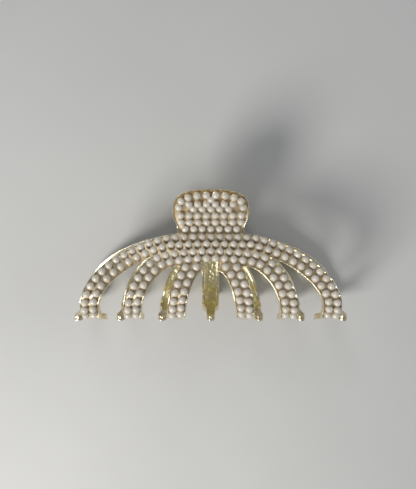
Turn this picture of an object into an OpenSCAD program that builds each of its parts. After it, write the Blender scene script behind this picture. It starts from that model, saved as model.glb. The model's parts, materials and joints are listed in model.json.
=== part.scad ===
// Large claw clip for hair: two bent castings hinged on a pin, sprung shut and covered in pearls.
// Clip frame: X along the hinge pin, +Y to the handle pads, +Z to the front jaw, origin on the pin.
// The finished part is laid down on its back jaw, so that the floor is at Z = 0.

/* [Side profile] */
// Thickness of the cast plates
plate = 1.8; // [1.4:0.1:2.2]
// Height of the waist's channel floor above the hinge axis
waist_z = 8.7; // [8:0.1:10.5]
// Distance of the waist's lowest line from the hinge axis, towards the pads
waist_y = 2; // [1:0.5:3]
// Bend radius of the waist
waist_r = 4.5; // [4:0.5:6]
// Slope of the neck where the waist meets the belly, degrees
neck_slope = 40; // [34:1:44]
// Bend radius of the belly
belly_r = 32; // [27:1:39]
// Bend radius where the prongs turn down
prong_r = 12.5; // [10.5:0.5:15]
// Slope at the foot of the handle pads, degrees
pad_foot_slope = 23; // [18:1:28]
// Slope at the end of the handle pads, degrees
pad_end_slope = 62; // [54:1:66]
// Bend radius of the handle pads
pad_r = 28; // [24:1:34]
// Slope of the straight tips below the bend, degrees
tip_slope = 75; // [70:1:84]
// How far the prong tips pass the plane between the jaws
tip_cross = 1.5; // [1:0.1:2]

/* [Outline] */
// Width of the handle pads
pad_w = 30.4; // [26:0.2:36]
// Width of the neck
neck_w = 26.8; // [23:0.2:30]
// Distance from the hinge axis to the crotches between the prongs
crotch_y = 10.3; // [10:0.1:11.5]
// Width of the prongs at their roots
prong_w = 7.7; // [7.5:0.1:8.2]
// Width of the prongs at their last pearls
prong_end_w = 7.2; // [7.1:0.1:7.5]
// Width of the bare tips
tip_w = 3.6; // [3:0.1:4.4]
// Feet of the front prongs, from the clip's centre line: inner, middle, outer
front_feet = [14, 31.2, 47.8]; // [10:0.1:58]
// How far each back foot stands outside the front one beside it: inner, middle, outer
foot_step = [5.1, 5, 6.3]; // [4.8:0.1:8.4]
// How far the front tips curl towards the centre line: inner, middle, outer
front_curl = [0, 1.5, 3]; // [0:0.1:3]
// How far the back tips flare away from the centre line: inner, middle, outer
back_flare = [1.7, 2.3, 2.3]; // [0:0.1:2.5]

/* [Rims and faces] */
// Width of the raised rim round the pearls
rim_w = 0.5; // [0.4:0.05:0.55]
// Height of the rim above the channel floor
rim_h = 0.5; // [0.3:0.05:0.6]
// Width of the border left round the recess of the inner face
border_w = 1.1; // [0.8:0.1:1.5]
// Depth of the recess in the inner face
recess = 0.4; // [0.2:0.05:0.6]

/* [Pearls] */
// Diameter of the pearls
pearl_d = 3; // [2.4:0.1:3.2]
// Thickness cut off each pearl for its flat back
pearl_flat = 0.45; // [0.3:0.05:0.8]
// Distance between neighbouring pearls in a row
pearl_pitch = 3.55; // [3.3:0.05:4.4]
// Distance between the two rows of pearls on a prong
row_pitch = 3.2; // [3.1:0.05:3.3]
// Distance between rows of pearls on the pads
pad_row_pitch = 3.3; // [3.2:0.05:3.6]
// Glue gap between a pearl's flat back and the channel floor
glue = 0.03; // [0.02:0.01:0.1]

/* [Hinge and spring] */
// Diameter of the hinge pin
pin_d = 2; // [1.6:0.1:2.4]
// Running clearance round the pin
pin_gap = 0.05; // [0.02:0.01:0.08]
// Diameter of the pin's two heads
pin_head_d = 3.4; // [3:0.1:4]
// Thickness of the pin's heads
pin_head_t = 0.8; // [0.6:0.1:1.2]
// Diameter of the lugs round the pin
lug_d = 5.4; // [4.6:0.1:6.5]
// Thickness of each lug
lug_t = 2; // [1.4:0.1:2.6]
// Side gap between neighbours along the pin
side_gap = 0.15; // [0.1:0.05:0.3]
// Diameter of the spring wire
wire_d = 1.1; // [0.8:0.1:1.3]
// Mean diameter of the spring coil
coil_d = 6.4; // [5.2:0.1:7]
// Full turns of the spring coil
coil_turns = 5; // [3:1:7]
// Length of each spring leg
leg_l = 15; // [11:0.5:17]

/* [Hidden] */

gold = [0.83, 0.76, 0.58];
steel = [0.75, 0.75, 0.72];
cream = [0.93, 0.91, 0.84];

// Side profile: the channel floor is a chain of tangent arcs, from the prongs to the pad's end.
neck_y = waist_y - waist_r * sin(neck_slope);
neck_z = waist_z + waist_r * (1 - cos(neck_slope));
crest_y = neck_y - belly_r * sin(neck_slope);
crest_z = neck_z + belly_r * (1 - cos(neck_slope));
tip_y = crest_y - prong_r;
bend_end_y = crest_y - prong_r * sin(tip_slope);
pad_y = waist_y + waist_r * sin(pad_foot_slope);
pad_z = waist_z + waist_r * (1 - cos(pad_foot_slope));
pad_end_y = pad_y + pad_r * (sin(pad_end_slope) - sin(pad_foot_slope));
pad_end_z = pad_z + pad_r * (cos(pad_foot_slope) - cos(pad_end_slope));

// Slope of the channel floor at y, in degrees, positive where it rises towards the pads
function slope(y) =
    y < crest_y ? asin(min(1, (crest_y - y) / prong_r)) :
    y < neck_y ? -asin((y - crest_y) / belly_r) :
    y < pad_y ? asin((y - waist_y) / waist_r) :
    asin(min(1, (y - pad_y) / pad_r + sin(pad_foot_slope)));

// Height of the channel floor at y
function height(y) =
    y < crest_y ? crest_z - prong_r * (1 - cos(slope(y))) :
    y < neck_y ? crest_z - belly_r * (1 - cos(slope(y))) :
    y < pad_y ? waist_z + waist_r * (1 - cos(slope(y))) :
    pad_z + pad_r * (cos(pad_foot_slope) - cos(slope(y)));

// A point at distance d from the floor, out of the clip where d is positive
function off_floor(y, d) = [y - d * sin(slope(y)), height(y) + d * cos(slope(y))];

// The same at the very end of the straight tips
function tip_end(d) =
    let (p = off_floor(bend_end_y, d))
    [p[0] - (p[1] + tip_cross) / tan(tip_slope), -tip_cross];
foot_y = tip_end(rim_h)[0];

// Places along Y where the bent plate gets a facet line, evenly spaced in slope on each arc
arc_step = 4;
profile_ys = concat(
    [for (a = [tip_slope:-arc_step:1]) crest_y - prong_r * sin(a)],
    [for (a = [0:arc_step:neck_slope - 1]) crest_y + belly_r * sin(a)],
    [for (a = [-neck_slope:arc_step:pad_foot_slope - 1]) waist_y + waist_r * sin(a)],
    [for (k = [0:10])
        pad_y + pad_r * (sin(pad_foot_slope + (pad_end_slope - pad_foot_slope) * k / 10)
            - sin(pad_foot_slope))]
);

// Length along the channel floor from the waist's lowest line to y, through the pad
function pad_length(y) =
    y < pad_y ? waist_r * slope(y) * PI / 180 :
    (waist_r * pad_foot_slope + pad_r * (slope(y) - pad_foot_slope)) * PI / 180;

// The opposite: the place along Y at a length s beyond the waist's lowest line
waist_arc = waist_r * pad_foot_slope * PI / 180;
function pad_place(s) =
    s < waist_arc ? waist_y + waist_r * sin(s / waist_r * 180 / PI) :
    pad_y + pad_r * (sin(pad_foot_slope + (s - waist_arc) / pad_r * 180 / PI) - sin(pad_foot_slope));

// Prongs: each centre line is a quarter of an ellipse from the body down to its foot.
// An arm is [ellipse centre x, centre y, half axis x, half axis y, start angle, foot curl].
arm_centre_x = [2, 9, 0];
arm_centre_y = [tip_y - 3, tip_y + 1, tip_y + 4];
front_crown_y = [-8.9, -6.8, -1.3];
back_crown_y = [-9.4, -8.2, -2.2];
arm_start = [12, 0, 0];
function arm(feet, crowns, curls, k) = [
    arm_centre_x[k], arm_centre_y[k], feet[k] - arm_centre_x[k],
    crowns[k] - arm_centre_y[k], arm_start[k], curls[k]
];
back_feet = front_feet + foot_step;
front_arms = [for (k = [0:2]) arm(front_feet, front_crown_y, front_curl, k)];
back_arms = [for (k = [0:2]) arm(back_feet, back_crown_y, -back_flare, k)];

// A place at an offset from an arm's centre line, measured on the sloping plate; t runs from 0 to 90
function arm_half_w(t) = (prong_w + (prong_end_w - prong_w) * t / 90) / 2;
// The upper rim runs just outside the pearls, and stands off by the lean where the plate is steep
lean = 0.55;
lean_t = 50;
rim_gap = 0.07;
function arm_outer_w(t) = row_pitch / 2 + pearl_d / 2 + rim_gap + rim_w
    + lean * max(0, 1 - t / lean_t);
// Prongs spread towards their roots on the inner side, which rounds the crotches
root_w = 3;
root_t = 40;
function root_spread(t) = root_w * pow(max(0, 1 - t / root_t), 2);
function arm_point(a, t, side) =
    let (
        x = a[0] + a[2] * sin(t),
        y = a[1] + a[3] * cos(t),
        out = [a[3] * sin(t), a[2] * cos(t)],
        n = out / norm(out)
    )
    [x + side * n[0], y + side * n[1] * cos(slope(y))];
channel_end_slope = 67;
channel_end_y = crest_y - prong_r * sin(channel_end_slope);
function arm_end_y(inset) = inset > 0 ? channel_end_y : foot_y - 1;

module arm_plan(a, inset) {
    ts = [for (k = [0:12]) a[4] + (90 - a[4]) * k / 12];
    outer = [for (t = ts) arm_point(a, t, arm_outer_w(t) - inset)];
    inner = [for (k = [12:-1:0])
        arm_point(a, ts[k], inset - arm_half_w(ts[k]) - root_spread(ts[k]))];
    foot = a[0] + a[2];
    end_y = arm_end_y(inset);
    half = prong_end_w / 2 - inset;
    reached = a[1] < end_y;
    intersection() {
        polygon(concat(outer,
            reached ? [] : [[foot + arm_outer_w(90) - inset, end_y], [foot - half, end_y]],
            inner));
        translate([0, end_y])
            square([foot + prong_w, -end_y]);
    }
}

module centre_prong_plan(inset) {
    half_top = prong_w / 2 + 0.4 - inset;
    half_end = prong_end_w / 2 - inset;
    polygon([
        [-half_top, -crotch_y + 2], [-half_end, channel_end_y], [-half_end, arm_end_y(inset)],
        [half_end, arm_end_y(inset)], [half_end, channel_end_y], [half_top, -crotch_y + 2]
    ]);
}

// Handle pad and neck: a rounded end, then sides that draw in to the neck and flare to the body
pad_round = 2.5;
pad_side_y = waist_y + 6.5;
flare = 2.2;
function eased(t) = t <= 0 ? 0 : t >= 1 ? 1 : t * t * (3 - 2 * t);
function pad_side(y) = neck_w / 2
    + (pad_w - neck_w) / 2 * eased((y - waist_y) / (pad_side_y - waist_y))
    + flare * pow(max(0, waist_y - 0.5 - y) / 3, 2);
pad_side_s = pad_length(pad_side_y);
pad_end_s = pad_length(pad_end_y);
function round_end(half_w, rise, a) = [
    half_w * pow(cos(a), 2 / pad_round),
    pad_side_s + rise * pow(sin(a), 2 / pad_round)
];
function pad_end_points(inset) = [
    for (a = [0:5:90])
        let (p = round_end(pad_w / 2 - inset, pad_end_s - pad_side_s - inset, a))
            [p[0], pad_place(p[1])]
];

module pad_plan(inset) {
    sides = [for (y = [-3:1:pad_side_y - 1]) [pad_side(y) - inset, y]];
    right = concat(sides, pad_end_points(inset));
    last = len(right) - 1;
    polygon(concat(right, [for (k = [last - 1:-1:0]) [-right[k][0], right[k][1]]]));
}

// The rim stops at the crotches, where the channel floor runs out to the edge
module body_plan(inset) {
    half_w = 23.5 - inset;
    past = inset > 0 ? 1 : 0;
    translate([-half_w, -crotch_y - past])
        square([2 * half_w, crotch_y + past - 1.5]);
}

module jaw_plan(arms, centre_prong, inset) {
    pad_plan(inset);
    body_plan(inset);
    for (a = arms, m = [0, 1])
        mirror([m, 0])
            arm_plan(a, inset);
    if (centre_prong)
        centre_prong_plan(inset);
}

// Layer of the bent plate between two distances from the channel floor, as wide as any clip
module band(low, high) {
    top = concat([tip_end(high)], [for (y = profile_ys) off_floor(y, high)]);
    last = len(profile_ys) - 1;
    bottom = concat([for (k = [last:-1:0]) off_floor(profile_ys[k], low)], [tip_end(low)]);
    rotate([90, 0, 90])
        linear_extrude(160, center = true)
            polygon(concat(top, bottom));
}

module layer(arms, centre_prong, inset, low, high) {
    intersection() {
        translate([0, 0, -10])
            linear_extrude(50)
                jaw_plan(arms, centre_prong, inset);
        band(low, high);
    }
}

// Bare tips, seen from the front: they narrow, curl towards the centre line and end round
taper_slope = 64;
taper_z = crest_z - prong_r * (1 - cos(taper_slope));
function tip_x(foot, curl, v) = foot - curl * pow(v, 1.5);
function tip_half_w(v) =
    v < 0.35 ? prong_end_w / 2 + 0.2 - (prong_end_w / 2 + 0.2 - tip_w / 2) * eased(v / 0.35) :
    v < 0.86 ? tip_w / 2 :
    tip_w / 2 * sqrt(max(0.12, 1 - pow((v - 0.86) / 0.14, 2)));
tip_steps = [0, 0.09, 0.18, 0.27, 0.35, 0.5, 0.65, 0.86, 0.92, 0.96, 0.985, 1];
module tip_face(foot, curl) {
    drop = taper_z + tip_cross;
    right = [for (v = tip_steps) [tip_x(foot, curl, v) + tip_half_w(v), taper_z - drop * v]];
    left = [for (v = tip_steps) [tip_x(foot, curl, v) - tip_half_w(v), taper_z - drop * v]];
    polygon(concat(right, [for (k = [len(left) - 1:-1:0]) left[k]]));
}

module tip_waste(arms, centre_prong) {
    reach = arms[2][0] + arms[2][2] + prong_w;
    translate([0, crest_y, 0])
        rotate([90, 0, 0])
            linear_extrude(crest_y - foot_y + 4)
                difference() {
                    translate([-reach, -tip_cross - 1])
                        square([2 * reach, taper_z + tip_cross + 1]);
                    for (a = arms, m = [0, 1])
                        mirror([m, 0])
                            tip_face(a[0] + a[2], a[5]);
                    if (centre_prong)
                        tip_face(0, 0);
                }
}

// Hinge lugs stand on the inner face at the waist
coil_half = (coil_turns + 1.4) * wire_d * 1.03 / 2;
front_lug_x = coil_half + side_gap;
back_lug_x = front_lug_x + lug_t + side_gap;
lug_half = 3.1;
module lug(x) {
    for (s = [-1, 1])
        translate([s * (x + lug_t / 2), 0, 0])
            rotate([90, 0, 90])
                linear_extrude(lug_t, center = true) {
                    circle(d = lug_d, $fn = 48);
                    polygon([
                        [-lug_d / 2, 0], [lug_d / 2, 0],
                        [waist_y + lug_half, waist_z - plate / 3],
                        [waist_y - lug_half, waist_z - plate / 3]
                    ]);
                }
}

module pin_bore() {
    rotate([0, 90, 0])
        cylinder(h = 60, d = pin_d + 2 * pin_gap, center = true, $fn = 48);
}

module jaw_casting(arms, centre_prong, lug_x) {
    color(gold)
        difference() {
            union() {
                difference() {
                    layer(arms, centre_prong, 0, -plate, rim_h);
                    layer(arms, centre_prong, rim_w, 0, rim_h + 1);
                    layer(arms, centre_prong, border_w, -plate - 1, recess - plate);
                    tip_waste(arms, centre_prong);
                }
                lug(lug_x);
            }
            pin_bore();
        }
}

// Pearls: a place is [x, y, region], with y on the channel floor.
// Regions: 0 is the pad, 1 is the body, 2 and more are the prongs from the inside out.
pearl_h = pearl_d / 2 - pearl_flat;
flat_r = sqrt(pow(pearl_d / 2, 2) - pow(pearl_h, 2));
function hollow_r(y) = y < neck_y ? 1e6 : y < pad_y ? waist_r : pad_r;
function seat(y) = glue + flat_r * flat_r / 2 / hollow_r(y);
function pearl_centre(p) = concat([p[0]], off_floor(p[1], seat(p[1]) + pearl_h));

// Length along a list of plan points, measured at the pearls' centres
function run_length(points) = [
    for (k = 0, s = 0; k < len(points);
        s = s + (k + 1 < len(points)
            ? norm(pearl_centre(points[k + 1]) - pearl_centre(points[k])) : 0),
        k = k + 1) s
];

// Places at an even pitch along a list of plan points, from a first offset on
function spread(points, first) =
    let (
        s = run_length(points),
        xs = [for (k = [0:len(points) - 1]) [s[k], points[k][0]]],
        ys = [for (k = [0:len(points) - 1]) [s[k], points[k][1]]]
    )
    [for (d = [first:pearl_pitch:s[len(s) - 1]]) [lookup(d, xs), lookup(d, ys)]];

// A row starts at the centre line on a shallow arch, then follows an arm at an offset from join_x on
last_pearl_slope = 55;
last_pearl_y = crest_y - prong_r * sin(last_pearl_slope);
function arm_run(a, side, join_x, top_y) = concat(
    [for (t = [a[4]:1:90])
        let (p = arm_point(a, t, side))
            if (p[0] > join_x + 0.3 && p[1] > last_pearl_y && p[1] < top_y) p],
    a[1] > last_pearl_y ? [[a[0] + a[2] + side, last_pearl_y]] : []
);
function arch_run(crown, arch, join_x) = [for (x = [0:0.5:join_x]) [x, crown - arch * x * x]];
function both_sides(places) = concat(
    places,
    [for (p = places) if (p[0] > pearl_d / 2) [-p[0], p[1], p[2]]]
);

// The two rows of a prong lie at this distance from its centre line
row_off = row_pitch / 2;
half_pitch = pearl_pitch / 2;
// Where the four body rows cross the centre line, and where each joins its prong's ellipse
crown_rows = [-1.5, -4, -6.6, -9.2];
arches = [0.001, 0.002, 0.0047, 0.005];
join_x = [15, 14, 20, 17];
inner_top_y = crown_rows[3] - 3.1;
body_x = 22;
function region(p, k) = k == 2 && p[0] < body_x || k == 1 && p[1] > crown_rows[3] - 0.6 ? 1 : 2 + k;
function placed(points, first, k) = [for (p = spread(points, first)) [p[0], p[1], region(p, k)]];
function body_row(a, k, row, side, first) = placed(
    concat(arch_run(crown_rows[row], arches[row], join_x[row]), arm_run(a, side, join_x[row], 0)), first, k);
function jaw_rows(arms) = concat(
    body_row(arms[2], 2, 0, row_off, 0),
    body_row(arms[2], 2, 1, -row_off, half_pitch),
    body_row(arms[1], 1, 2, row_off, 0),
    body_row(arms[1], 1, 3, -row_off, half_pitch),
    placed(arm_run(arms[0], row_off, 0, inner_top_y), 0, 0),
    placed(arm_run(arms[0], -row_off, 0, inner_top_y), 0, 0)
);
function centre_rows() = [
    for (p = spread([[row_off + 0.1, inner_top_y], [row_off + 0.1, last_pearl_y]], 0))
        each [[p[0], p[1], 5], [-p[0], p[1], 5]]
];

// Straight rows up the neck and the pad inside one ring that follows the pad's end,
// all laid out on the unrolled plate
edge_gap = rim_w + pearl_d / 2 + 0.1;
pad_pitch = 3.42;
waist_row_s = 0.65;
pad_rim_gap = 0.3;
ring_s = waist_row_s + 3 * pad_row_pitch;
ring_w = pad_w / 2 - edge_gap - 0.6;
ring_rise = pad_end_s - ring_s - edge_gap - pad_rim_gap;
function ring_reach(s) = s > ring_s
    ? ring_w * pow(1 - pow((s - ring_s) / ring_rise, pad_round), 1 / pad_round) - 2.2
    : pad_side(pad_place(s)) - edge_gap + 0.2;
pad_rows = [
    [ring_s + ring_rise * 2 / 3, 0],
    [ring_s + ring_rise / 3, 0.5],
    [ring_s, 0],
    [waist_row_s + 2 * pad_row_pitch, 0.5],
    [waist_row_s + pad_row_pitch, 0.5],
    [waist_row_s, 0]
];
function pad_row(s, shift) =
    [for (x = [shift * pad_pitch:pad_pitch:ring_reach(s)]) [x, pad_place(s), 0]];
pad_ring = [
    for (p = spread([
        for (a = [90:-3:0])
            [ring_w * pow(cos(a), 2 / pad_round),
                pad_place(ring_s + ring_rise * pow(sin(a), 2 / pad_round))]
    ], half_pitch)) [p[0], p[1], 0]
];
function pad_places() = concat(pad_ring, [for (r = pad_rows) each pad_row(r[0], r[1])]);

// Keeps each place that clears all the places kept before it
least_gap = 0.03;
function clears(p, kept) =
    let (c = pearl_centre(p))
    len([for (q = kept) if (norm(c - q[3]) < pearl_d + least_gap) 1]) == 0;
function sifted(places) = [
    for (k = 0, kept = []; k <= len(places);
        kept = k < len(places) && clears(places[k], kept)
            ? concat(kept, [concat(places[k], [pearl_centre(places[k])])]) : kept,
        k = k + 1)
        if (k == len(places)) each kept
];
function jaw_places(arms, centre_prong) = sifted(concat(
    centre_prong ? centre_rows() : [],
    both_sides(jaw_rows(arms)),
    both_sides(pad_places())
));
front_places = jaw_places(front_arms, false);
back_places = jaw_places(back_arms, true);

module pearl(place) {
    y = place[1];
    translate([place[0], y, height(y)])
        rotate([slope(y), 0, 0])
            translate([0, 0, seat(y)])
                difference() {
                    translate([0, 0, pearl_h])
                        sphere(d = pearl_d, $fn = 32);
                    translate([-pearl_d, -pearl_d, -pearl_d])
                        cube([2 * pearl_d, 2 * pearl_d, pearl_d]);
                }
}

// Pearls of one region; side is -1 or 1 for one prong of a pair, 0 for both sides
module pearls(places, region, side) {
    color(cream)
        for (p = places)
            if (p[2] == region && (side == 0 || sign(p[0]) == side))
                pearl(p);
}

// Hinge pin with a head at each end, riveted outside the back lugs
pin_end = back_lug_x + lug_t + side_gap;
module hinge_pin_part() {
    color(steel)
        rotate([0, 90, 0]) {
            cylinder(h = 2 * pin_end, d = pin_d, center = true, $fn = 48);
            for (s = [-1, 1])
                translate([0, 0, s * (pin_end + pin_head_t / 2)])
                    cylinder(h = pin_head_t, d = pin_head_d, center = true, $fn = 48);
        }
}

// Torsion spring: each leg leaves the coil on a tangent and bears on the inner face of a pad
leg_depth = plate - recess + wire_d / 2 + 0.05;
function leg_slope_at(y) =
    let (p = off_floor(y, -leg_depth))
    atan2(p[1], p[0]) - asin(coil_d / 2 / norm(p));
leg_slope = min([for (y = [waist_y:0.25:pad_end_y - 1]) leg_slope_at(y)]);
coil_sweep = 360 * coil_turns + 2 * (90 - leg_slope);
coil_rings = 16 * coil_turns + 5;
function coil_point(v) =
    let (a = leg_slope + 90 + coil_sweep * v)
    [(2 * v - 1) * (coil_half - wire_d / 2), coil_d / 2 * cos(a), coil_d / 2 * sin(a)];
leg_reach = leg_l * [0, cos(leg_slope), sin(leg_slope)];
spring_path = concat(
    [for (k = [1, 0.66, 0.33]) coil_point(0) + k * leg_reach],
    [for (k = [0:coil_rings]) coil_point(k / coil_rings)],
    [for (k = [0.33, 0.66, 1])
        coil_point(1) + k * [leg_reach[0], leg_reach[1], -leg_reach[2]]]
);
wire_sides = 10;
function wire_ring(k) =
    let (
        last = len(spring_path) - 1,
        ahead = spring_path[min(last, k + 1)] - spring_path[max(0, k - 1)],
        along = ahead / norm(ahead),
        out = cross(along, [1, 0, 0]),
        n = out / norm(out),
        b = cross(n, along)
    )
    [for (j = [0:wire_sides - 1])
        spring_path[k] + wire_d / 2 * (n * cos(360 * j / wire_sides) + b * sin(360 * j / wire_sides))];
module torsion_spring_part() {
    rings = len(spring_path);
    points = [for (k = [0:rings - 1]) each wire_ring(k)];
    sides = [for (k = [0:rings - 2], j = [0:wire_sides - 1])
        let (m = (j + 1) % wire_sides, low = k * wire_sides, high = low + wire_sides)
            [low + j, high + j, high + m, low + m]];
    first_end = [for (j = [0:wire_sides - 1]) j];
    last_end = [for (j = [wire_sides - 1:-1:0]) (rings - 1) * wire_sides + j];
    color(steel)
        polyhedron(points, concat([first_end], sides, [last_end]));
}

// Resting place: the back jaw touches the floor with its prongs' crests and its pad's last pearls
// or the corner of its pad, whichever is reached first
belly_out = prong_r + pearl_h + glue + pearl_d / 2;
pad_pearl = pearl_centre(pad_ring[0]);
pad_corner = off_floor(pad_end_y, rim_h);
function tilt_onto(p, r) =
    let (dy = p[0] - crest_y, dz = crest_z - prong_r - p[1])
    -atan2(dz, dy) - asin((belly_out - r) / norm([dy, dz]));
rest_tilt = max(tilt_onto([pad_pearl[1], pad_pearl[2]], pearl_d / 2), tilt_onto(pad_corner, 0));
hinge_z = belly_out - crest_y * sin(rest_tilt) + (crest_z - prong_r) * cos(rest_tilt);
far_y = pad_end_y * cos(rest_tilt) + pad_end_z * sin(rest_tilt);
near_y = foot_y * cos(rest_tilt) - tip_cross * sin(rest_tilt);
hinge_y = -(far_y + near_y) / 2;
module laid_down() {
    translate([0, hinge_y, hinge_z])
        rotate([rest_tilt, 0, 0])
            children();
}
module front() {
    laid_down()
        children();
}
module back() {
    laid_down()
        mirror([0, 0, 1])
            children();
}

module front_jaw_casting() {
    front()
        jaw_casting(front_arms, false, front_lug_x);
}
module back_jaw_casting() {
    back()
        jaw_casting(back_arms, true, back_lug_x);
}
module hinge_pin() {
    laid_down()
        hinge_pin_part();
}
module torsion_spring() {
    laid_down()
        torsion_spring_part();
}
// Front prongs are numbered from left to right, 1 to 6, and back prongs 1 to 7
module front_prong_pearls(n) {
    front()
        pearls(front_places, n < 4 ? 5 - n : n - 2, n < 4 ? -1 : 1);
}
module back_prong_pearls(n) {
    back()
        pearls(back_places, n == 4 ? 5 : n < 4 ? 5 - n : n - 3, n == 4 ? 0 : n < 4 ? -1 : 1);
}

front_jaw_casting();
back_jaw_casting();
hinge_pin();
torsion_spring();
front() pearls(front_places, 0, 0);  // front_pad_pearls
front() pearls(front_places, 1, 0);  // front_body_pearls
front_prong_pearls(1);  // front_prong_1_pearls
front_prong_pearls(2);  // front_prong_2_pearls
front_prong_pearls(3);  // front_prong_3_pearls
front_prong_pearls(4);  // front_prong_4_pearls
front_prong_pearls(5);  // front_prong_5_pearls
front_prong_pearls(6);  // front_prong_6_pearls
back() pearls(back_places, 0, 0);  // back_pad_pearls
back() pearls(back_places, 1, 0);  // back_body_pearls
back_prong_pearls(1);  // back_prong_1_pearls
back_prong_pearls(2);  // back_prong_2_pearls
back_prong_pearls(3);  // back_prong_3_pearls
back_prong_pearls(4);  // back_prong_4_pearls
back_prong_pearls(5);  // back_prong_5_pearls
back_prong_pearls(6);  // back_prong_6_pearls
back_prong_pearls(7);  // back_prong_7_pearls
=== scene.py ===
import json
import math

import bpy
import numpy as np
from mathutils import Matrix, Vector


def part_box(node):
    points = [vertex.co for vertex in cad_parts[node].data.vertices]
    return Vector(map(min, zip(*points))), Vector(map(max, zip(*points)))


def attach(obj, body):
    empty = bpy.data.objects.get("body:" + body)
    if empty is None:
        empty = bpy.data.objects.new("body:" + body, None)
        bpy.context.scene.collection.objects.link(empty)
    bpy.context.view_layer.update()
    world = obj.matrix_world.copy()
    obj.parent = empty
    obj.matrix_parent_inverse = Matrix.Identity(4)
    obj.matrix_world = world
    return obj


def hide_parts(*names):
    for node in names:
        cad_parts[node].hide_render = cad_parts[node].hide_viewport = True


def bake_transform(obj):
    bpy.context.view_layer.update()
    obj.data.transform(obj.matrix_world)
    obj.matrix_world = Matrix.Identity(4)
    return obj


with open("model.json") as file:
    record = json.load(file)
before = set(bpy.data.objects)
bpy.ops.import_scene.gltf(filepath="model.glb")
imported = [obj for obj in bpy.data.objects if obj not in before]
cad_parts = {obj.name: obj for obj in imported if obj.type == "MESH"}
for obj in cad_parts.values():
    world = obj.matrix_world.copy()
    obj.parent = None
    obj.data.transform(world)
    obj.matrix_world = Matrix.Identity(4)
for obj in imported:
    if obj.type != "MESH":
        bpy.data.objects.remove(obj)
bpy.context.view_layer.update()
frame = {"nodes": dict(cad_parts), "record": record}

MM = 0.001

# Sizes that the CAD source names too, in millimetres and degrees. The clip frame has X along the
# hinge pin, +Y to the pads and +Z to the front jaw; the part is laid down by TILT about the pin.
PLATE, RIM_H, RECESS = 1.8, 0.5, 0.4
WAIST_Y, WAIST_Z, WAIST_R, NECK_SLOPE = 2.0, 8.7, 4.5, 40.0
BELLY_R, PRONG_R = 32.0, 12.5
PAD_FOOT_SLOPE, PAD_END_SLOPE, PAD_R = 23.0, 62.0, 28.0
TIP_CROSS, TIP_SLOPE = 1.5, 75.0
FRONT_FEET = [(14.0, 0.0), (31.2, 1.5), (47.8, 3.0)]
BACK_FEET = [(0.0, 0.0), (19.1, -1.7), (36.2, -2.3), (54.1, -2.3)]
PIN_D, PIN_END, PIN_HEAD_D, PIN_HEAD_T = 2.0, 8.0756, 3.4, 0.8
WIRE_D, COIL_D, COIL_TURNS, LEG_L, LEG_SLOPE, COIL_HALF = 1.1, 6.4, 5, 15.0, 32.6624, 3.6256
TILT, HINGE_Y, HINGE_Z = 3.08774, 8.9684, 20.9685

RAD = math.pi / 180
NECK_Y = WAIST_Y - WAIST_R * math.sin(NECK_SLOPE * RAD)
NECK_Z = WAIST_Z + WAIST_R * (1 - math.cos(NECK_SLOPE * RAD))
CREST_Y = NECK_Y - BELLY_R * math.sin(NECK_SLOPE * RAD)
CREST_Z = NECK_Z + BELLY_R * (1 - math.cos(NECK_SLOPE * RAD))
BEND_END_Y = CREST_Y - PRONG_R * math.sin(TIP_SLOPE * RAD)
BEND_END_Z = CREST_Z - PRONG_R * (1 - math.cos(TIP_SLOPE * RAD))
PAD_Y = WAIST_Y + WAIST_R * math.sin(PAD_FOOT_SLOPE * RAD)
PAD_Z = WAIST_Z + WAIST_R * (1 - math.cos(PAD_FOOT_SLOPE * RAD))
COS_T, SIN_T = math.cos(TILT * RAD), math.sin(TILT * RAD)


def to_clip(points, back):
    """Row frame in metres to the clip frame in millimetres, the back jaw mirrored to +Z."""
    x, y, z = (points / MM).T
    y, z = y - HINGE_Y, z - HINGE_Z
    y, z = y * COS_T + z * SIN_T, z * COS_T - y * SIN_T
    return np.stack([x, y, -z if back else z], 1)


def to_row(points, back):
    x, y, z = points.T
    z = -z if back else z
    y, z = y * COS_T - z * SIN_T + HINGE_Y, y * SIN_T + z * COS_T + HINGE_Z
    return np.stack([x, y, z], 1) * MM


def floor_distance(y, z):
    """Distance out of the clip from the channel floor's chain of arcs, and the way out (ny, nz)."""
    d = np.full(len(y), 99.0)
    ny, nz = np.zeros(len(y)), np.ones(len(y))

    def arc(cy, cz, r, low, high, convex):
        dy, dz = y - cy, z - cz
        length = np.hypot(dy, dz) + 1e-9
        way = 1.0 if convex else -1.0
        angle = np.degrees(np.arctan2(dy, dz * way))
        dist = way * (length - r)
        hit = (angle >= low) & (angle <= high) & (np.abs(dist) < np.abs(d))
        d[hit] = dist[hit]
        ny[hit] = way * dy[hit] / length[hit]
        nz[hit] = way * dz[hit] / length[hit]

    arc(CREST_Y, CREST_Z - PRONG_R, PRONG_R, -TIP_SLOPE, 0.01, True)
    arc(CREST_Y, CREST_Z - BELLY_R, BELLY_R, 0, NECK_SLOPE + 0.01, True)
    arc(WAIST_Y, WAIST_Z + WAIST_R, WAIST_R, -NECK_SLOPE, PAD_FOOT_SLOPE + 0.01, False)
    arc(PAD_Y - PAD_R * math.sin(PAD_FOOT_SLOPE * RAD), PAD_Z + PAD_R * math.cos(PAD_FOOT_SLOPE * RAD),
        PAD_R, PAD_FOOT_SLOPE, PAD_END_SLOPE + 6, False)
    sin_s, cos_s = math.sin(TIP_SLOPE * RAD), math.cos(TIP_SLOPE * RAD)
    dy, dz = y - BEND_END_Y, z - BEND_END_Z
    dist = dz * cos_s - dy * sin_s
    tip = (dy * cos_s + dz * sin_s < 0) & (np.abs(dist) < 3)
    d[tip] = dist[tip]
    ny[tip], nz[tip] = -sin_s, cos_s
    return d, ny, nz


def mesh_arrays(mesh):
    co = np.empty(len(mesh.vertices) * 3)
    mesh.vertices.foreach_get("co", co)
    edges = np.empty(len(mesh.edges) * 2, np.int64)
    mesh.edges.foreach_get("vertices", edges)
    return co.reshape(-1, 3), edges.reshape(-1, 2)


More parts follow.
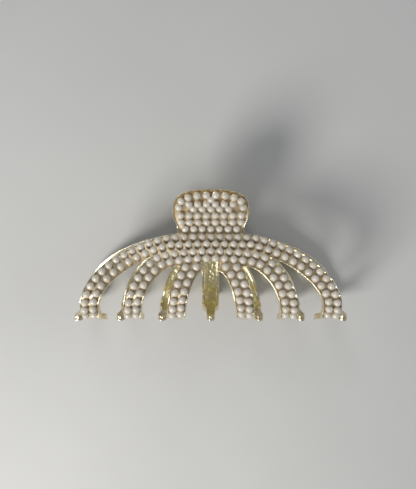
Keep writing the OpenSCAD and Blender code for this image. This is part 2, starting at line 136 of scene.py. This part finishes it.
def smoothed(points, edges, rounds, share=0.5):
    n = len(points)
    a, b = edges[:, 0], edges[:, 1]
    count = np.maximum(np.bincount(a, minlength=n) + np.bincount(b, minlength=n), 1)
    for _ in range(rounds):
        mean = np.stack([
            (np.bincount(a, points[b, k], n) + np.bincount(b, points[a, k], n)) / count for k in range(3)], 1)
        points = points + share * (mean - points)
    return points


def wave_noise(p, seed, scale, waves=14):
    """A smooth bumpy field from a sum of seeded plane waves, about -1 to 1."""
    rng = np.random.default_rng(seed)
    total = np.zeros(len(p))
    for _ in range(waves):
        way = rng.normal(size=3)
        way /= np.linalg.norm(way)
        total += np.sin(p @ way * 2 * math.pi / scale * rng.uniform(0.75, 1.3) + rng.uniform(0, 6.28))
    return total / math.sqrt(waves / 2) / 1.6


def write_attribute(mesh, name, values):
    attribute = mesh.attributes.new(name, "FLOAT", "POINT")
    attribute.data.foreach_set("value", np.asarray(values, np.float32))


def shade_smooth(mesh):
    mesh.polygons.foreach_set("use_smooth", np.ones(len(mesh.polygons), bool))


def new_object(name, mesh):
    obj = bpy.data.objects.new(name, mesh)
    bpy.context.scene.collection.objects.link(obj)
    return obj


# Materials

def material(name):
    mat = bpy.data.materials.new(name)
    mat.use_nodes = True
    tree = mat.node_tree
    tree.nodes.clear()
    out = tree.nodes.new("ShaderNodeOutputMaterial")
    shader = tree.nodes.new("ShaderNodeBsdfPrincipled")
    tree.links.new(shader.outputs["BSDF"], out.inputs["Surface"])
    return mat, tree, shader


class Graph:
    """Short calls for the few node kinds that the materials use."""

    def __init__(self, tree):
        self.tree = tree
        self.place = tree.nodes.new("ShaderNodeTexCoord").outputs["Object"]

    def put(self, socket, value):
        if isinstance(value, bpy.types.NodeSocket):
            self.tree.links.new(value, socket)
        elif value is not None:
            socket.default_value = value

    def noise(self, scale, detail=3.0, rough=0.5, distortion=0.0, place=None):
        node = self.tree.nodes.new("ShaderNodeTexNoise")
        self.put(node.inputs["Vector"], place or self.place)
        self.put(node.inputs["Scale"], scale)
        self.put(node.inputs["Detail"], detail)
        self.put(node.inputs["Roughness"], rough)
        self.put(node.inputs["Distortion"], distortion)
        return node.outputs["Fac"]

    def soft_cells(self, scale, smoothness):
        node = self.tree.nodes.new("ShaderNodeTexVoronoi")
        node.feature = "SMOOTH_F1"
        self.put(node.inputs["Vector"], self.place)
        self.put(node.inputs["Scale"], scale)
        self.put(node.inputs["Smoothness"], smoothness)
        return node.outputs["Distance"]

    def stretched(self, scale, turn=(0, 0, 0)):
        node = self.tree.nodes.new("ShaderNodeMapping")
        self.put(node.inputs["Vector"], self.place)
        node.inputs["Scale"].default_value = scale
        node.inputs["Rotation"].default_value = turn
        return node.outputs["Vector"]

    def attribute(self, name):
        node = self.tree.nodes.new("ShaderNodeAttribute")
        node.attribute_name = name
        return node.outputs["Fac"]

    def ramp(self, value, low, high, out_low=0.0, out_high=1.0):
        node = self.tree.nodes.new("ShaderNodeMapRange")
        self.put(node.inputs["Value"], value)
        node.inputs["From Min"].default_value = low
        node.inputs["From Max"].default_value = high
        node.inputs["To Min"].default_value = out_low
        node.inputs["To Max"].default_value = out_high
        return node.outputs["Result"]

    def math(self, kind, a, b):
        node = self.tree.nodes.new("ShaderNodeMath")
        node.operation = kind
        self.put(node.inputs[0], a)
        self.put(node.inputs[1], b)
        return node.outputs[0]

    def mix(self, factor, a, b):
        node = self.tree.nodes.new("ShaderNodeMix")
        node.data_type = "RGBA"
        self.put(node.inputs["Factor"], factor)
        self.put(node.inputs["A"], a)
        self.put(node.inputs["B"], b)
        return node.outputs["Result"]

    def bump(self, height, strength, distance, normal=None):
        node = self.tree.nodes.new("ShaderNodeBump")
        self.put(node.inputs["Height"], height)
        node.inputs["Strength"].default_value = strength
        node.inputs["Distance"].default_value = distance
        self.put(node.inputs["Normal"], normal)
        return node.outputs["Normal"]


def rgb(r, g, b):
    return (r, g, b, 1.0)


def gold_material():
    """Champagne-gold plating: bright on rims, lightened further there by a painted highlight, milled and
    warmer on the channel floor, olive and hammered in the recess of the inner face."""
    mat, tree, shader = material("champagne_gold")
    g = Graph(tree)
    floor, recess, edge = g.attribute("floor"), g.attribute("recess"), g.attribute("edge")
    cloud = g.noise(160.0, 4.0, 0.55)
    fine = g.noise(1500.0, 3.0, 0.6)
    plating = g.mix(g.ramp(cloud, 0.35, 0.65), rgb(0.80, 0.70, 0.47), rgb(0.87, 0.79, 0.57))
    warm = g.mix(g.ramp(fine, 0.35, 0.7), rgb(0.66, 0.52, 0.33), rgb(0.84, 0.70, 0.48))
    olive = g.mix(g.ramp(g.noise(420.0, 4.0, 0.6), 0.35, 0.68), rgb(0.66, 0.60, 0.34), rgb(0.90, 0.83, 0.54))
    colour = g.mix(floor, plating, warm)
    colour = g.mix(recess, colour, olive)
    # Painted highlight: the rim tops, and more weakly the back rims, are lightened toward pale gold
    colour = g.mix(g.math("MULTIPLY", edge, 0.45), colour, rgb(0.93, 0.88, 0.71))
    g.put(shader.inputs["Base Color"], colour)
    shader.inputs["Metallic"].default_value = 1.0
    rough = g.math("ADD", g.ramp(cloud, 0.3, 0.7, 0.15, 0.24), g.math("MULTIPLY", floor, 0.20))
    rough = g.math("ADD", rough, g.math("MULTIPLY", recess, 0.12))
    rough = g.math("ADD", rough, g.ramp(fine, 0.3, 0.7, -0.03, 0.05))
    g.put(shader.inputs["Roughness"], rough)
    milled = g.noise(1.0, 2.0, 0.5, 0.3, g.stretched((4200.0, 500.0, 900.0), (0, 0, 0.5)))
    dents = g.soft_cells(900.0, 0.7)
    pits = g.noise(2600.0, 3.0, 0.6)
    height = g.math("ADD", g.math("MULTIPLY", g.math("MULTIPLY", milled, floor), 0.8),
        g.math("MULTIPLY", g.math("MULTIPLY", dents, recess), 2.6))
    normal = g.bump(height, 0.55, 0.00012)
    normal = g.bump(pits, 0.16, 0.00004, normal)
    g.put(shader.inputs["Normal"], normal)
    return mat


def steel_material():
    """Drawn spring wire and pin: fine draw lines along X, slight straw tint and handling marks."""
    mat, tree, shader = material("drawn_steel")
    g = Graph(tree)
    lines = g.noise(1.0, 3.0, 0.6, 0.0, g.stretched((350.0, 5200.0, 5200.0)))
    marks = g.noise(600.0, 4.0, 0.6, 0.4)
    colour = g.mix(g.ramp(marks, 0.4, 0.7), rgb(0.66, 0.65, 0.61), rgb(0.50, 0.47, 0.41))
    g.put(shader.inputs["Base Color"], colour)
    shader.inputs["Metallic"].default_value = 1.0
    g.put(shader.inputs["Roughness"], g.ramp(lines, 0.3, 0.7, 0.20, 0.38))
    g.put(shader.inputs["Normal"], g.bump(g.math("ADD", lines, marks), 0.3, 0.00005))
    return mat


def pearl_material():
    """Imitation pearl: cream lacquer whose tint and gloss differ a little from bead to bead, with painted
    shade and a painted gold reflection darkening each bead toward tan near its flat back.
    """
    mat, tree, shader = material("cream_pearl")
    g = Graph(tree)
    tint, dull, painted_underside_shade = g.attribute("tint"), g.attribute("dull"), g.attribute("painted_underside_shade")
    swirl = g.noise(420.0, 3.0, 0.5, 0.8)
    base = g.mix(tint, rgb(0.63, 0.585, 0.50), rgb(0.74, 0.70, 0.62))
    base = g.mix(g.ramp(swirl, 0.35, 0.7, 0.0, 0.5), base, rgb(0.78, 0.70, 0.60))
    base = g.mix(g.math("MULTIPLY", dull, 0.35), base, rgb(0.60, 0.54, 0.43))
    # Painted shade and painted reflection of the gold floor: each bead is darkened toward tan near its flat
    # back
    base = g.mix(g.math("MULTIPLY", painted_underside_shade, 0.6), base, rgb(0.55, 0.44, 0.27))
    g.put(shader.inputs["Base Color"], base)
    rough = g.math("ADD", g.math("MULTIPLY", dull, 0.16), g.ramp(g.noise(900.0), 0.3, 0.7, 0.22, 0.30))
    g.put(shader.inputs["Roughness"], rough)
    lacquer = {
        "IOR": 1.6,
        "Coat Weight": 1.0,
        "Coat Roughness": 0.05,
        "Sheen Weight": 0.12,
        "Sheen Roughness": 0.4,
        "Sheen Tint": rgb(1.0, 0.94, 0.86),
        "Subsurface Weight": 0.12,
        "Subsurface Radius": (0.6, 0.5, 0.4),
        "Subsurface Scale": 0.0008,
    }
    for name, value in lacquer.items():
        shader.inputs[name].default_value = value
    g.put(shader.inputs["Normal"], g.bump(g.noise(2200.0, 2.0), 0.05, 0.00005))
    return mat


GOLD, STEEL, PEARL = gold_material(), steel_material(), pearl_material()


# Castings: the CAD shape, remeshed, with rounded edges, true arcs and a hammered recess

VOXEL = 0.2
# How near one of the plate's levels a point must lie to be moved onto it
SNAP = 0.13
DENT_DEPTH, CAST_WAVE = 0.035, 0.008
DIMPLE_DEPTH, DIMPLE_R = 0.22, 0.42
# The channel floor beyond the pad's last pearls is plated like the rim
PAD_BARE_Y, PAD_FADE = 17.1, 0.5


def level_share(d, level, width):
    """1 on a level of the plate, falling to 0 at a distance of width from it."""
    return np.clip(1 - np.abs(d - level) / width, 0, 1)


def casting(node, back, feet, seed):
    source = frame["nodes"][node]
    mesh = source.data.copy()
    obj = new_object(node.replace("_casting", "_plate"), mesh)
    obj.data.materials.clear()
    remesh = obj.modifiers.new("remesh", "REMESH")
    remesh.mode = "VOXEL"
    remesh.voxel_size = VOXEL * MM
    remesh.adaptivity = 0
    bpy.context.view_layer.update()
    graph = bpy.context.evaluated_depsgraph_get()
    mesh = bpy.data.meshes.new_from_object(obj.evaluated_get(graph))
    obj.modifiers.clear()
    obj.data = mesh
    points, edges = mesh_arrays(mesh)
    p = to_clip(points, back)
    p = smoothed(p, edges, 2)

    # Onto the true arcs, where a point lies close to one of the plate's four levels
    d, ny, nz = floor_distance(p[:, 1], p[:, 2])
    for level in (RIM_H, 0.0, RECESS - PLATE, -PLATE):
        near = np.abs(d - level) < SNAP
        move = (level - d)[near]
        p[near, 1] += move * ny[near]
        p[near, 2] += move * nz[near]
    p = smoothed(p, edges, 1, 0.35)

    d, ny, nz = floor_distance(p[:, 1], p[:, 2])
    floor = level_share(d, 0.0, 0.14) * np.clip((PAD_BARE_Y - p[:, 1]) / PAD_FADE, 0, 1)
    recess = level_share(d, RECESS - PLATE, 0.12)
    rim = level_share(d, RIM_H, 0.1)
    back_rim = level_share(d, -PLATE, 0.1)

    # Hammering, about half a millimetre to the dent, on the recess only
    dent = wave_noise(p, seed, 1.5) + 0.6 * wave_noise(p, seed + 1, 0.8)
    push = DENT_DEPTH * dent * recess
    cast = CAST_WAVE * wave_noise(p, seed + 2, 3.0)
    p[:, 1] += (push + cast) * ny
    p[:, 2] += (push + cast) * nz

    # A shallow dimple in the end of each foot
    middle = (RIM_H - PLATE) / 2
    end_y = (BEND_END_Y - middle * math.sin(TIP_SLOPE * RAD)
        - (BEND_END_Z + TIP_CROSS) / math.tan(TIP_SLOPE * RAD))
    for x, curl in feet:
        for side in ((1, -1) if x else (1,)):
            centre = np.array([side * (x - curl), end_y])
            r = np.hypot(p[:, 0] - centre[0], p[:, 1] - centre[1])
            end = (p[:, 2] < -TIP_CROSS + 0.25) & (r < 1.2)
            p[end, 2] += DIMPLE_DEPTH * np.exp(-(r[end] / DIMPLE_R) ** 2)

    write_attribute(mesh, "floor", floor)
    write_attribute(mesh, "recess", recess)
    # edge marks where the painted rim highlight goes: the rim tops fully, the back rims at 0.6
    write_attribute(mesh, "edge", np.maximum(rim, 0.6 * back_rim))
    rows = to_row(p, back)
    low, high = (np.array(c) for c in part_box(node))
    rows = np.clip(rows, low, high)
    mesh.vertices.foreach_set("co", rows.ravel())
    shade_smooth(mesh)
    mesh.update()
    mesh.materials.append(GOLD)
    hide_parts(node)
    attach(obj, "back_jaw" if back else "front_jaw")
    return obj


casting("front_jaw_casting", False, FRONT_FEET, 11)
casting("back_jaw_casting", True, BACK_FEET, 21)


# Pearls: one turned bead for each CAD bead, on the same centre, with the same flat back

def sphere_through(points):
    middle = points.mean(0)
    q = points - middle
    a = np.c_[2 * q, np.ones(len(q))]
    solved = np.linalg.lstsq(a, (q ** 2).sum(1), rcond=None)[0]
    centre = solved[:3]
    return centre + middle, math.sqrt(solved[3] + centre @ centre)


def face_vectors(mesh, kind):
    values = np.empty(len(mesh.polygons) * 3)
    mesh.polygons.foreach_get(kind, values)
    return values.reshape(-1, 3)


def beads(node):
    """Centre, radius, way out of the flat and its depth, for each bead of a CAD node."""
    mesh = frame["nodes"][node].data
    co, edges = mesh_arrays(mesh)
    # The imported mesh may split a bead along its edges, so points are joined by position first
    key = np.round(co / 1e-6).astype(np.int64)
    _, first, same = np.unique(key, axis=0, return_index=True, return_inverse=True)
    same = same.ravel()
    a, b = same[edges].T
    label = np.arange(len(first))
    while True:
        low = np.minimum(label[a], label[b])
        new = label.copy()
        np.minimum.at(new, a, low)
        np.minimum.at(new, b, low)
        new = new[new]
        if (new == label).all():
            break
        label = new
    points = co[first]
    normals, centres = face_vectors(mesh, "normal"), face_vectors(mesh, "center")
    areas = np.empty(len(mesh.polygons))
    mesh.polygons.foreach_get("area", areas)
    starts = np.empty(len(mesh.polygons), np.int64)
    mesh.polygons.foreach_get("loop_start", starts)
    corner = np.empty(len(mesh.loops), np.int64)
    mesh.loops.foreach_get("vertex_index", corner)
    face_label = label[same[corner[starts]]]
    found = []
    for k in np.unique(label):
        centre, radius = sphere_through(points[label == k])
        faces = np.flatnonzero(face_label == k)
        depth = ((centres[faces] - centre) * normals[faces]).sum(1)
        # Weighed by area, because slivers at a bead's poles have no true normal
        back = faces[depth < 0.85 * radius]
        out = -(normals[back] * areas[back, None]).sum(0)
        out /= np.linalg.norm(out)
        found.append((centre, radius, out, -((points[label == k] - centre) @ out).min()))
    return found


BEAD_AROUND, BEAD_RINGS = ((32, 20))


def bead_profile(radius, flat):
    """Rings (r, h) of a turned bead from the middle of its flat to its top, for a radius of 1."""
    f = flat / radius
    edge = math.sqrt(1 - f * f)
    rings = [(0.0, -f), (edge * 0.6, -f), (edge - 0.05, -f), (edge - 0.012, -f + 0.012)]
    start = math.asin(-f) + 0.06
    for k in range(BEAD_RINGS + 1):
        a = start + (math.pi / 2 - start) * k / BEAD_RINGS
        rings.append((math.cos(a), math.sin(a)))
    rings[-1] = (0.0, 1.0)
    return rings


def bead_mesh(centre, radius, out, flat, rng):
    out = out / np.linalg.norm(out)
    side = np.cross(out, [1.0, 0.0, 0.0] if abs(out[0]) < 0.9 else [0.0, 1.0, 0.0])
    side /= np.linalg.norm(side)
    third = np.cross(out, side)
    rings = bead_profile(radius, flat)
    turn = rng.uniform(0, 6.28)
    squash = rng.uniform(0.985, 1.0)
    points, faces = [], []
    angles = np.arange(BEAD_AROUND) / BEAD_AROUND * 2 * math.pi + turn
    for r, h in rings:
        if r == 0.0:
            points.append((centre + radius * h * out)[None])
        else:
            ring = centre + radius * (squash * r * (np.cos(angles)[:, None] * side
                + np.sin(angles)[:, None] * third) + h * out)
            points.append(ring)
    starts = np.cumsum([0] + [len(p) for p in points])
    for k in range(len(rings) - 1):
        low, high = starts[k], starts[k + 1]
        for j in range(BEAD_AROUND):
            m = (j + 1) % BEAD_AROUND
            if rings[k][0] == 0.0:
                faces.append((low, high + m, high + j))
            elif rings[k + 1][0] == 0.0:
                faces.append((low + j, low + m, high))
            else:
                faces.append((low + j, low + m, high + m, high + j))
    return np.concatenate(points), faces


def pearls(node, body, seed):
    rng = np.random.default_rng(seed)
    points, faces, tint, dull, painted_underside_shade = [], [], [], [], []
    total = 0
    for centre, radius, out, flat in beads(node):
        p, f = bead_mesh(centre, radius, out, flat, rng)
        points.append(p)
        faces.extend([tuple(int(total + i) for i in face) for face in f])
        total += len(p)
        tint.append(np.full(len(p), rng.uniform(0.0, 1.0)))
        dull.append(np.full(len(p), rng.uniform(0.0, 1.0) ** 4))
        height = ((p - centre) @ out) / radius
        # How far down toward the flat back a point lies, which drives the painted underside shade of each
        # bead
        painted_underside_shade.append(np.clip((-height - 0.35) / 0.4, 0, 1))
    mesh = bpy.data.meshes.new(node)
    mesh.from_pydata(np.concatenate(points).tolist(), [], faces)
    write_attribute(mesh, "tint", np.concatenate(tint))
    write_attribute(mesh, "dull", np.concatenate(dull))
    write_attribute(mesh, "painted_underside_shade", np.concatenate(painted_underside_shade))
    shade_smooth(mesh)
    mesh.update()
    mesh.materials.append(PEARL)
    obj = new_object(node.replace("_pearls", "_beads"), mesh)
    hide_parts(node)
    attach(obj, body)
    return obj


for body in ("front_jaw", "back_jaw"):
    for number, node in enumerate(frame["record"]["behaviour"]["bodies"][body]):
        if node.endswith("_pearls"):
            pearls(node, body, 100 + number + (50 if body == "back_jaw" else 0))


# Turned and swept steel

def steel_tube(name, points, around):
    """A closed steel piece from rings of points in the clip frame, with a flat face at each end."""
    faces = []
    last = len(points) - around
    for low in range(0, last, around):
        for j in range(around):
            m = (j + 1) % around
            high = low + around
            faces.append((low + j, high + j, high + m, low + m))
    faces.append(tuple(range(around)))
    faces.append(tuple(last + j for j in range(around - 1, -1, -1)))
    mesh = bpy.data.meshes.new(name)
    mesh.from_pydata(to_row(np.array(points), False).tolist(), [], faces)
    shade_smooth(mesh)
    mesh.update()
    mesh.materials.append(STEEL)
    return new_object(name, mesh)


def turned(name, rings, around):
    """A turned piece from (x, r) rings along the hinge pin."""
    points = []
    for x, r in rings:
        for j in range(around):
            a = 2 * math.pi * j / around
            points.append((x, r * math.cos(a), r * math.sin(a)))
    return steel_tube(name, points, around)


def pin_rings():
    """A shank with a domed head at one end and a peened, dimpled one at the other."""
    r, shank = PIN_HEAD_D / 2, PIN_D / 2
    dome = [(PIN_END, shank), (PIN_END, r - 0.12), (PIN_END + 0.06, r - 0.03), (PIN_END + 0.14, r)]
    for k in range(1, 13):
        a = k / 12 * math.pi / 2
        dome.append((PIN_END + 0.14 + (PIN_HEAD_T - 0.14) * math.sin(a), r * math.cos(a) + 0.02 * (k == 12)))
    peened = dome[:4]
    for k in range(1, 9):
        a = k / 8 * math.pi / 2
        peened.append((PIN_END + 0.14 + (PIN_HEAD_T - 0.14) * math.sin(a), r - 0.95 * (1 - math.cos(a))))
    peened += [(PIN_END + PIN_HEAD_T - 0.03, 0.55), (PIN_END + PIN_HEAD_T - 0.16, 0.3),
        (PIN_END + PIN_HEAD_T - 0.2, 0.02)]
    return [(-x, s) for x, s in reversed(peened)] + dome


pin = turned("rivet_pin", pin_rings(), 48)
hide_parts("hinge_pin")
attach(pin, "back_jaw")


def spring_path():
    turn = 360 * COIL_TURNS + 2 * (90 - LEG_SLOPE)
    span = COIL_HALF - WIRE_D / 2

    def coil(v):
        a = (LEG_SLOPE + 90 + turn * v) * RAD
        return np.array([(2 * v - 1) * span, COIL_D / 2 * math.cos(a), COIL_D / 2 * math.sin(a)])

    reach = LEG_L * np.array([0, math.cos(LEG_SLOPE * RAD), math.sin(LEG_SLOPE * RAD)])
    steps = 44 * COIL_TURNS
    first = [coil(0) + k * reach for k in np.linspace(1, 0.05, 16)]
    last = [coil(1) + k * reach * [1, 1, -1] for k in np.linspace(0.05, 1, 16)]
    return np.array(first + [coil(k / steps) for k in range(steps + 1)] + last)


def wire(name, path, diameter, around=16):
    ahead = np.gradient(path, axis=0)
    ahead /= np.linalg.norm(ahead, axis=1)[:, None]
    first = np.cross(ahead, [1.0, 0.0, 0.0])
    first /= np.linalg.norm(first, axis=1)[:, None]
    second = np.cross(first, ahead)
    r = diameter / 2
    # Cropped ends with a small round: two short rings beyond each end pull in
    ends = [(0.55, 0.0), (0.85, 0.06), (1.0, 0.2)]
    rings = [(path[0] + ahead[0] * back, first[0], second[0], r * w) for w, back in ends]
    rings += [(path[k], first[k], second[k], r) for k in range(3, len(path) - 3)]
    rings += [(path[-1] - ahead[-1] * back, first[-1], second[-1], r * w) for w, back in reversed(ends)]
    points = []
    for middle, n, b, radius in rings:
        for j in range(around):
            a = 2 * math.pi * j / around
            points.append(middle + radius * (n * math.cos(a) + b * math.sin(a)))
    return steel_tube(name, points, around)


spring = wire("coil_spring", spring_path(), WIRE_D)
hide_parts("torsion_spring")
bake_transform(spring)


# Floor, light and camera, in metres

FLOOR_HALF = 3.0
# Straight above the clip; the lens and the height give the photograph's framing and perspective
CAMERA_AT = (-1.15 * MM, 4.68 * MM, 218.1 * MM)


def floor_material():
    mat, tree, shader = material("pale_floor")
    g = Graph(tree)
    g.put(shader.inputs["Base Color"],
        g.mix(g.ramp(g.noise(9.0, 4.0), 0.3, 0.7), rgb(0.60, 0.60, 0.59), rgb(0.64, 0.64, 0.63)))
    shader.inputs["Roughness"].default_value = 0.75
    return mat


floor_mesh = bpy.data.meshes.new("studio_floor")
floor_corners = [(x * FLOOR_HALF, y * FLOOR_HALF, 0) for x, y in ((-1, -1), (1, -1), (1, 1), (-1, 1))]
floor_mesh.from_pydata(floor_corners, [], [(0, 1, 2, 3)])
floor_mesh.materials.append(floor_material())
floor_obj = new_object("studio_floor", floor_mesh)


def area_light(name, where, size, watts, colour=(1, 1, 1), target=(0, 0, 0.02)):
    data = bpy.data.lights.new(name, "AREA")
    data.shape = "DISK"
    data.size = size
    data.energy = watts
    data.color = colour
    obj = bpy.data.objects.new(name, data)
    bpy.context.scene.collection.objects.link(obj)
    obj.location = where
    obj.rotation_mode = "QUATERNION"
    obj.rotation_quaternion = (Vector(target) - Vector(where)).to_track_quat("-Z", "Y")


area_light("key", (-0.26, -0.30, 0.36), 0.22, 2.1, (1.0, 0.98, 0.94))
area_light("fill", (0.50, 0.10, 0.30), 0.30, 0.35, (0.94, 0.97, 1.0))
area_light("top", (-0.12, 0.45, 0.38), 0.30, 0.45)

world = bpy.data.worlds.new("studio")
bpy.context.scene.world = world
world.use_nodes = True
world.node_tree.nodes["Background"].inputs["Color"].default_value = rgb(0.86, 0.89, 0.93)
world.node_tree.nodes["Background"].inputs["Strength"].default_value = 0.26
bpy.context.scene.view_settings.view_transform = "Standard"

camera_data = bpy.data.cameras.new("camera")
camera_data.lens = 34.45
camera_data.sensor_width = 36.0
camera_data.clip_start = 0.01
camera = bpy.data.objects.new("camera", camera_data)
bpy.context.scene.collection.objects.link(camera)
camera.location = CAMERA_AT
bpy.context.scene.camera = camera
